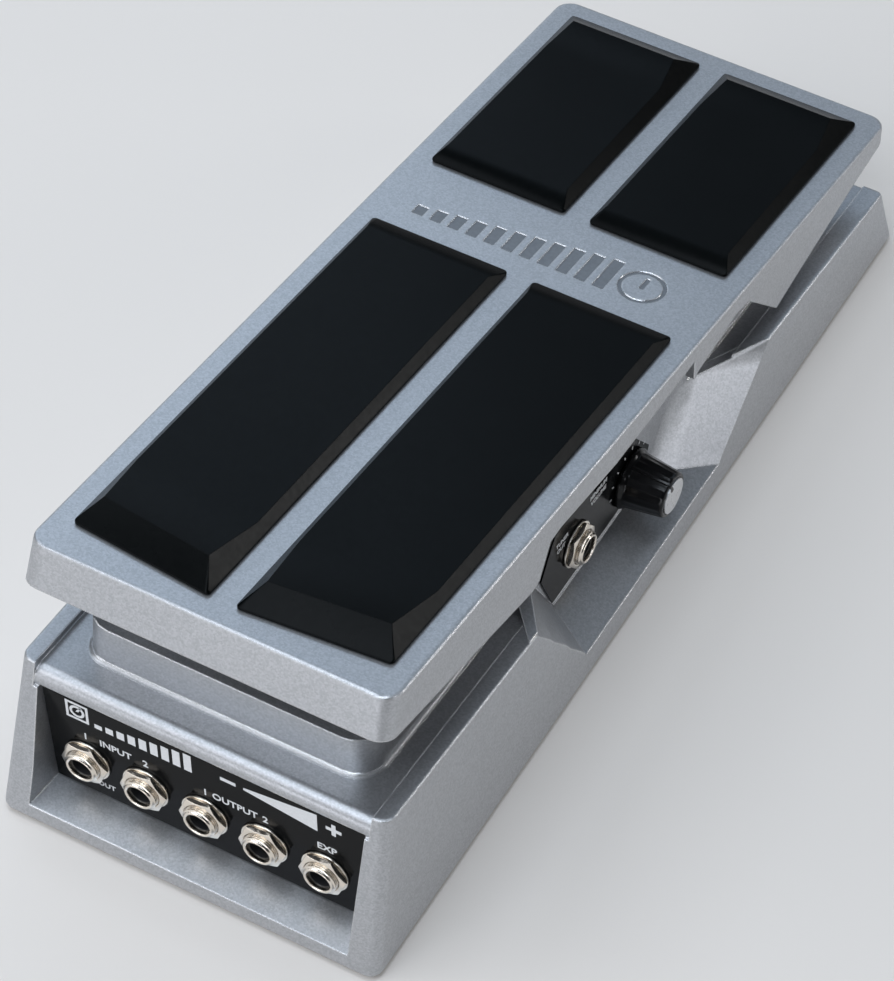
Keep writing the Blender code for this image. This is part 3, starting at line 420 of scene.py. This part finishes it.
def jack_case():
    """Black moulded case with ribs round it, a liner in the sleeve and a stop behind the plug."""
    front, back = JACK_CASE_FRONT, JACK_CASE_BACK
    inner = 2 * (CASE_HALF - CASE_ROUND / 2)
    bm = bmesh.new()
    bmesh.ops.create_cube(bm, size=1.0, matrix=Matrix.Translation((0, (front + back) / 2, 0))
                          @ Matrix.Diagonal((inner, back - front, inner, 1.0)))
    bmesh.ops.bevel(bm, geom=bm.edges[:], offset=CASE_ROUND, segments=2, profile=0.5, affect="EDGES")
    parts = [bm]
    for k in range(CASE_RIBS):
        rib = bmesh.new()
        bmesh.ops.create_cube(rib, size=1.0, matrix=Matrix.Translation((0, front + 4.0 + RIB_PITCH * k, 0))
                              @ Matrix.Diagonal((2 * CASE_HALF, RIB_WIDE, 2 * CASE_HALF, 1.0)))
        parts.append(rib)
    mouth, end = JACK_MOUTH + 1.3, front + 0.2
    parts.append(turned([(mouth, LINER_BORE), (mouth, LINER_OUTER), (end, LINER_OUTER), (end, LINER_BORE)], 48))
    parts.append(turned([(front - 0.4, 0.0), (front - 0.4, 3.2), (front, 3.2), (front, 0.0)], 48))
    return merge(parts)


def hexagon_nut(flats, hole, front, back, turn):
    """Nut along Y whose corners are cut back by a cone on both faces."""
    steps, cone, lead = 120, math.tan(math.radians(28.0)), 0.25
    half = flats / 2
    circle = half * 0.985
    angles = [2.0 * math.pi * i / steps for i in range(steps)]
    reach = [half / math.cos(a - round(a / (math.pi / 3)) * (math.pi / 3)) for a in angles]
    rings = [[(hole, back)] * steps, [(hole, front + lead)] * steps, [(hole + lead, front)] * steps,
             [(circle, front)] * steps, [(r, front + max(0.0, r - circle) * cone) for r in reach],
             [(r, back - max(0.0, r - circle) * cone) for r in reach], [(circle, back)] * steps]
    bm = bmesh.new()
    rows = []
    for ring in rings:
        rows.append([bm.verts.new((r * math.cos(a + turn), y, r * math.sin(a + turn)))
                     for a, (r, y) in zip(angles, ring)])
    for low, high in zip(rows, rows[1:] + rows[:1]):
        skin(bm, low, high)
    return bm


def washer(outer, inner, front, back):
    """Flat washer with softly rounded rims."""
    r = 0.12
    outline = [(back, inner), (front + r, inner), (front, inner + r), (front, outer - 2 * r),
               (front + 0.4 * r, outer - 0.6 * r), (front + 1.6 * r, outer), (back - r, outer), (back, outer - r)]
    return turned(outline, 96)


def jack(name, turn):
    """The sleeve, case, nut and washer of one jack, turned about Z to face out of its wall."""
    low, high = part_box(f"{name}_washer")
    centre = (low + high) / 2 / MM
    wall = Matrix.Rotation(turn, 4, "Z")
    outward = wall @ Vector((0.0, -1.0, 0.0))
    matrix = Matrix.Translation(centre - outward * WASHER_MIDDLE) @ wall
    metal = FINISHES["nickel"]
    piece(f"{name}_sleeve", jack_sleeve(), metal, "base", matrix, [f"{name}_body"])
    piece(f"{name}_case", jack_case(), MOULDED, "base", matrix, [f"{name}_body"])
    nut = hexagon_nut(NUT_FLATS, NUT_HOLE, NUT_FRONT, NUT_BACK, NUT_TURN)
    piece(f"{name}_hexagon_nut", nut, metal, "base", matrix, [f"{name}_nut"])
    ring = washer(WASHER_OUTER, WASHER_INNER, WASHER_FRONT, WASHER_BACK)
    piece(f"{name}_ring_washer", ring, metal, "base", matrix, [f"{name}_washer"])


def build_jacks():
    for number in range(1, 6):
        jack(f"toe_jack_{number}", 0.0)
    jack("side_jack", math.radians(90.0))


# ---------------------------------------------------------------- knob
KNOB_FLUTES, FLUTE_DEPTH = 20, 0.13
KNOB_LONG = 12.7
# (distance from the knob's foot, radius, 1 where it is fluted)
KNOB_PROFILE = ((0.0, 5.0, 0), (0.0, 8.45, 0), (0.15, 8.6, 0), (0.75, 8.6, 0), (1.15, 8.35, 0), (1.5, 7.95, 0),
                (1.75, 7.78, 0), (2.3, 7.72, 1), (5.0, 7.4, 1), (9.0, 6.87, 1), (11.6, 6.52, 1), (12.1, 6.42, 0),
                (12.5, 6.22, 0), (12.7, 5.9, 0), (12.7, 5.3, 0), (12.35, 5.22, 0), (12.35, 0.0, 0))
POINTER_ANGLE, POINTER_HALF = math.radians(108.0), 0.65


def knob_body(foot, stretch):
    """The turned knob along X, with shallow flutes round its side."""
    steps = KNOB_FLUTES * 8
    bm = bmesh.new()
    rows = []
    for along, radius, fluted in KNOB_PROFILE:
        x = foot + along * stretch
        if radius == 0.0:
            rows.append([bm.verts.new((x, 0.0, 0.0))])
            continue
        row = []
        for i in range(steps):
            a = 2.0 * math.pi * i / steps
            r = radius - fluted * FLUTE_DEPTH * (0.5 - 0.5 * math.cos(KNOB_FLUTES * a)) ** 0.7
            row.append(bm.verts.new((x, r * math.cos(a), r * math.sin(a))))
        rows.append(row)
    for near, far in zip(rows, rows[1:]):
        skin(bm, near, far)
    bm.faces.new(rows[0])
    return bm


def knob_pointer(foot, tip):
    """Ridge along the knob's side that turns in over its tip."""
    half = POINTER_HALF
    ridge = [(foot + 1.9, 7.2, 8.15), (tip - 1.0, 5.2, 6.95), (tip + 0.42, 3.2, 6.55)]
    bm = bmesh.new()
    rings = []
    for x, inner, outer in ridge:
        corners = ((inner, -half), (outer, -half * 0.6), (outer, half * 0.6), (inner, half))
        rings.append([bm.verts.new((x, r, w)) for r, w in corners])
    for near, far in zip(rings, rings[1:]):
        skin(bm, near, far)
    bm.faces.new(rings[0][::-1])
    bm.faces.new(rings[-1])
    long_edges = [e for e in bm.edges if e.calc_length() > 2.0]
    bmesh.ops.bevel(bm, geom=long_edges, offset=0.15, segments=2, profile=0.5, affect="EDGES")
    bm.transform(Matrix.Rotation(POINTER_ANGLE, 4, "X"))
    return bm


def build_knob():
    """Fluted knob with a skirt, a pointer ridge and a recess for the silver cap."""
    low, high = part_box("level_knob")
    foot, tip = low.x / MM, high.x / MM
    centre = Vector((0.0, (low.y + high.y) / 2 / MM, (low.z + high.z) / 2 / MM))
    knob = merge([knob_body(foot, (tip - foot) / KNOB_LONG), knob_pointer(foot, tip)])
    piece("knob_moulding", knob, FINISHES["black_plastic"], "level_knob_group",
          Matrix.Translation(centre), ["level_knob"])


# ---------------------------------------------------------------- printing on the labels
PRINT_THICK = 0.06


def rectangle(a0, b0, a1, b1):
    """Corners of an upright rectangle."""
    return [(a0, b0), (a1, b0), (a1, b1), (a0, b1)]


def ring_band(centre, outer, inner, matrix, steps=40, thick=PRINT_THICK):
    """A printed ring, as a flat tube."""
    angles = [2 * math.pi * i / steps for i in range(steps)]
    bm = bmesh.new()
    rows = []
    for radius, z in ((inner, 0.0), (outer, 0.0), (outer, thick), (inner, thick)):
        rows.append([bm.verts.new((centre[0] + radius * math.cos(a), centre[1] + radius * math.sin(a), z))
                     for a in angles])
    for low, high in zip(rows, rows[1:] + rows[:1]):
        skin(bm, low, high)
    bm.transform(matrix)
    return bm


def words(text, size, place, matrix):
    """Generic lettering as a solid, with its middle at a place on the label."""
    curve = bpy.data.curves.new("words", "FONT")
    curve.body = text
    curve.size = size
    curve.align_x = "CENTER"
    curve.align_y = "CENTER"
    curve.extrude = PRINT_THICK / 2
    curve.offset = 0.02 * size
    curve.resolution_u = 3
    holder = bpy.data.objects.new("words", curve)
    bpy.context.scene.collection.objects.link(holder)
    bpy.context.view_layer.update()
    shape = holder.evaluated_get(bpy.context.evaluated_depsgraph_get()).to_mesh()
    bm = bmesh.new()
    bm.from_mesh(shape)
    bpy.data.objects.remove(holder)
    bpy.data.curves.remove(curve)
    bmesh.ops.remove_doubles(bm, verts=bm.verts, dist=0.0005)
    bm.transform(matrix @ Matrix.Translation((place[0], place[1], PRINT_THICK / 2)))
    return bm


def label_frame(label, facing):
    """Matrix from (right, up, out) in millimetres on a label's face to the row frame."""
    low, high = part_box(label)
    if facing == "-y":
        axes = Matrix(((1, 0, 0), (0, 0, -1), (0, 1, 0))).to_4x4()
        origin = Vector((0.0, low.y / MM, low.z / MM))
    else:
        axes = Matrix(((0, 0, 1), (1, 0, 0), (0, 1, 0))).to_4x4()
        origin = Vector((high.x / MM, low.y / MM, low.z / MM))
    return Matrix.Translation(origin) @ axes


# on the toe label, in millimetres right of its middle and up from its lower edge
MARK_LOW, MARK_HIGH = 27.4, 34.0         # the row of marks
BADGE_LEFT, BADGE_RIGHT, BADGE_BAND = -39.4, -32.8, 0.75
BARS, BARS_LEFT, BARS_RIGHT, FIRST_BAR = 9, -31.2, -2.0, 1.6
WEDGE_LEFT, WEDGE_RIGHT, SIGN_HALF = 11.8, 32.6, 0.6
NUMBER_ROW, NUMBER_SIZE = 21.7, 3.3
JACK_WORDS = (("1", -34.4), ("INPUT", -25.6), ("2", -16.9), ("1", 0.4), ("OUTPUT", 8.9), ("2", 17.6),
              ("EXP", 35.0))


def build_toe_print():
    """Generic marks: a dial, rising bars, a volume wedge between minus and plus, and the jacks' numbers."""
    matrix = label_frame("toe_label", "-y")
    low, high, band = MARK_LOW, MARK_HIGH, BADGE_BAND
    left, right = BADGE_LEFT, BADGE_RIGHT
    middle = (low + high) / 2
    outlines = [rectangle(left, low, right, low + band), rectangle(left, high - band, right, high),
                rectangle(left, low + band, left + band, high - band),
                rectangle(right - band, low + band, right, high - band),
                [(-36.5, 30.7), (-35.7, 30.7), (-34.6, 32.6), (-35.1, 32.9)]]
    pitch = (BARS_RIGHT - BARS_LEFT) / BARS
    for i in range(BARS):
        x = BARS_LEFT + pitch * i
        tall = FIRST_BAR + (high - low - FIRST_BAR) * i / (BARS - 1)
        outlines.append(rectangle(x, low, x + 0.68 * pitch, low + tall))
    outlines += [rectangle(5.2, middle - SIGN_HALF, 9.6, middle + SIGN_HALF),
                 [(WEDGE_LEFT, middle - 0.4), (WEDGE_RIGHT, low),
                  (WEDGE_RIGHT, high), (WEDGE_LEFT, middle + 0.4)],
                 rectangle(35.0, middle - SIGN_HALF, 39.4, middle + SIGN_HALF),
                 rectangle(36.6, middle + SIGN_HALF, 37.8, middle + 2.2),
                 rectangle(36.6, middle - 2.2, 37.8, middle - SIGN_HALF)]
    parts = [prism(outline, PRINT_THICK, matrix) for outline in outlines]
    parts.append(ring_band(((left + right) / 2, middle), 2.2, 1.45, matrix))
    parts += [words(text, NUMBER_SIZE, (x, NUMBER_ROW), matrix) for text, x in JACK_WORDS]
    parts.append(words("TUNER OUT", 2.5, (-34.0, 4.3), matrix))
    piece("toe_label_print", merge(parts), PRINT, "base")


# on the side label, in millimetres from its lower toe corner: text, size and place
SIDE_WORDS = (("MINIMUM", 2.1, (30.5, 20.3)), ("VOLUME", 2.1, (30.5, 17.9)), ("TUNER", 2.0, (11.0, 20.0)),
              ("OUT", 2.0, (10.4, 17.7)))
SIDE_TILT = math.radians(-5.0)
TICKS, TICK_FIRST, TICK_STEP, TICK_NEAR, TICK_FAR, TICK_HALF = 7, 176.0, 24.0, 9.5, 10.5, 0.2


def build_side_print():
    """Ticks round the knob, and what the knob and the jack are for."""
    matrix = label_frame("side_label", "+x")
    low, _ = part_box("side_label")
    knob_low, knob_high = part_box("level_knob")
    middle = ((knob_low + knob_high) / 2 - low) / MM
    centre = Vector((middle.y, middle.z))
    parts = []
    for k in range(TICKS):
        a = math.radians(TICK_FIRST - TICK_STEP * k)
        direction = Vector((math.cos(a), math.sin(a)))
        across = Vector((-direction.y, direction.x)) * TICK_HALF
        near, far = centre + direction * TICK_NEAR, centre + direction * TICK_FAR
        outline = [near - across, far - across, far + across, near + across]
        parts.append(prism([tuple(p) for p in outline], PRINT_THICK, matrix))
    tilt = Matrix.Rotation(SIDE_TILT, 4, "Z")
    for text, size, place in SIDE_WORDS:
        there = matrix @ Matrix.Translation((*place, 0.0)) @ tilt
        parts.append(words(text, size, (0.0, 0.0), there))
    piece("side_label_print", merge(parts), PRINT, "base")


# ---------------------------------------------------------------- fillet in the side recess
FILLET_ENDS = ((40.4, -29.3, 14.83), (40.4, 20.8, 15.0))   # along the foot of the recess's inner wall
FILLET, FLOOR_FALL = 0.9, 0.34


def build_recess_fillet():
    """The small radius where the side recess's inner wall meets its floor, which falls away outwards."""
    rings = []
    bm = bmesh.new()
    for x, y, z in FILLET_ENDS:
        curve = []
        for i in range(7):
            t = i / 6
            curve.append((x + FILLET * t * t, z + FILLET * ((1 - t) ** 2 - FLOOR_FALL * t * t)))
        outline = [(x - 0.05, z - 0.05)] + curve[::-1]
        rings.append([bm.verts.new((a, y, b)) for a, b in outline])
    skin(bm, *rings)
    bm.faces.new(rings[0])
    bm.faces.new(rings[1][::-1])
    piece("recess_fillet", bm, FINISHES["silver_paint"], "base")


# ---------------------------------------------------------------- dark paint in the treadle's engraving
# in the treadle's frame: places, sizes, the height of its top face, and how deep the marks are cut
MARK_MIDDLE, MARK_TALL, MARK_PITCH, MARK_FIRST_X, MARK_BARS = 33.6, 13.0, 5.4, -36.0, 11
MARK_WIDE, MARK_SHORT, TREADLE_TOP, ENGRAVED = 3.2, 4.0, 18.34, 0.4
REST_TILT = math.radians(-9.22)
DIAL_RING, POINTER_WIDE, POINTER_LONG = 1.0, 1.2, 4.6


def build_marks():
    """Infill in the engraved bars and dial, in the treadle's own frame on the hinge axis."""
    hinge = next(j for j in frame["joints"] if j["name"] == "treadle_tilt")
    axis = Matrix.Translation(Vector(hinge["pos_m"]) / MM) @ Matrix.Rotation(REST_TILT, 4, "X")
    thick = ENGRAVED * 0.5
    matrix = axis @ Matrix.Translation((0.0, 0.0, TREADLE_TOP - ENGRAVED))
    inset = 0.03
    parts = []
    for i in range(MARK_BARS):
        x = MARK_FIRST_X + MARK_PITCH * i
        length = MARK_SHORT + (MARK_TALL - MARK_SHORT) * i / (MARK_BARS - 1)
        low = MARK_MIDDLE - MARK_TALL / 2
        half = MARK_WIDE / 2 - inset
        parts.append(prism(rectangle(x - half, low + inset, x + half, low + length - inset), thick, matrix))
    dial_x = MARK_FIRST_X + MARK_PITCH * MARK_BARS + MARK_TALL / 2 - 2.0
    parts.append(ring_band((dial_x, MARK_MIDDLE), MARK_TALL / 2 - inset, MARK_TALL / 2 - DIAL_RING + inset,
                           matrix, thick=thick))
    half, low = POINTER_WIDE / 2 - inset, MARK_MIDDLE + 1.6 - POINTER_LONG / 2
    hand = rectangle(dial_x - half, low + inset, dial_x + half, low + POINTER_LONG - inset)
    parts.append(prism(hand, thick, matrix))
    piece("treadle_marks_infill", merge(parts), mark_paint(), "treadle_group")


# ---------------------------------------------------------------- camera, floor and light
PHOTO_HEIGHT, FOCAL_LENGTH = 981.0, 4098.75   # both in pixels of the photograph
CAMERA_PLACE = (0.35217, -0.61349, 0.83913)
CAMERA_FORWARD = (-0.32744, 0.55857, -0.76209)
CAMERA_ROLL = math.radians(-0.919)
SENSOR = 36.0


def build_camera():
    """The photograph's view."""
    cam = bpy.data.cameras.new("view")
    cam.sensor_width = SENSOR
    cam.sensor_fit = "AUTO"
    cam.lens = FOCAL_LENGTH / PHOTO_HEIGHT * SENSOR
    cam.clip_start = 0.01
    holder = bpy.data.objects.new("view", cam)
    bpy.context.scene.collection.objects.link(holder)
    forward = Vector(CAMERA_FORWARD).normalized()
    right = forward.cross(Vector((0.0, 0.0, 1.0))).normalized()
    up = right.cross(forward)
    side = right * math.cos(CAMERA_ROLL) + up * math.sin(CAMERA_ROLL)
    top = up * math.cos(CAMERA_ROLL) - right * math.sin(CAMERA_ROLL)
    place = Matrix((side, top, -forward)).transposed().to_4x4()
    place.translation = Vector(CAMERA_PLACE)
    holder.matrix_world = place
    bpy.context.scene.camera = holder


def soft_light(name, towards, width, height, power, colour):
    """An area light that faces the pedal from a direction."""
    lamp = bpy.data.lights.new(name, "AREA")
    lamp.shape = "RECTANGLE"
    lamp.size, lamp.size_y = width, height
    lamp.energy = power
    lamp.color = colour
    holder = bpy.data.objects.new(name, lamp)
    bpy.context.scene.collection.objects.link(holder)
    outward = Vector(towards).normalized()
    facing = outward.to_track_quat("Z", "Y").to_matrix().to_4x4()
    holder.matrix_world = Matrix.Translation(outward * LIGHT_DISTANCE) @ facing
    holder.visible_camera = False


LIGHT_DISTANCE = 1.4
# softboxes: elevation in degrees, width and height in metres, colour, and (azimuth in degrees, watts) of each
STUDIO_LIGHTS = (
    (9, 1.1, 0.36, (0.98, 1.0, 1.05), ((0, 2.6), (90, 0.5), (135, 0.9), (225, 1.4), (270, 3.2))),
    (15, 0.42, 0.26, (1.0, 1.0, 1.0), ((40, 2.3),)),
    (33, 0.95, 0.55, (0.99, 1.0, 1.04), ((225, 4.8),)),
    (34, 0.95, 0.55, (0.80, 0.98, 1.2), ((90, 0.8), (135, 2.1))),
    (60, 0.9, 0.55, (0.90, 0.99, 1.1), ((90, 0.3), (180, 3.3), (270, 6.0))),
    (89, 0.7, 0.7, (0.90, 0.99, 1.1), ((90, 6.7),)))


def build_studio():
    """The floor, the dim surroundings and the softboxes."""
    bm = bmesh.new()
    reach = 12.0
    corners = ((-reach, -reach, 0), (reach, -reach, 0), (reach, reach, 0), (-reach, reach, 0))
    bm.faces.new([bm.verts.new(p) for p in corners])
    mesh = bpy.data.meshes.new("floor")
    bm.to_mesh(mesh)
    bm.free()
    mesh.materials.append(floor_finish())
    floor = bpy.data.objects.new("floor", mesh)
    bpy.context.scene.collection.objects.link(floor)
    world = bpy.data.worlds.new("studio")
    bpy.context.scene.world = world
    world.use_nodes = True
    backdrop = world.node_tree.nodes["Background"]
    backdrop.inputs["Color"].default_value = (0.9, 0.95, 1.0, 1.0)
    backdrop.inputs["Strength"].default_value = 0.05
    for elevation, width, height, colour, powers in STUDIO_LIGHTS:
        for azimuth, power in powers:
            a, e = math.radians(azimuth), math.radians(elevation)
            towards = (math.cos(a) * math.cos(e), math.sin(a) * math.cos(e), math.sin(e))
            soft_light(f"soft_{elevation}_{azimuth}", towards, width, height, power, colour)


finish_nodes()
build_jacks()
build_knob()
build_toe_print()
build_side_print()
build_recess_fillet()
build_marks()
build_studio()
build_camera()
bpy.context.scene.view_settings.view_transform = "Standard"
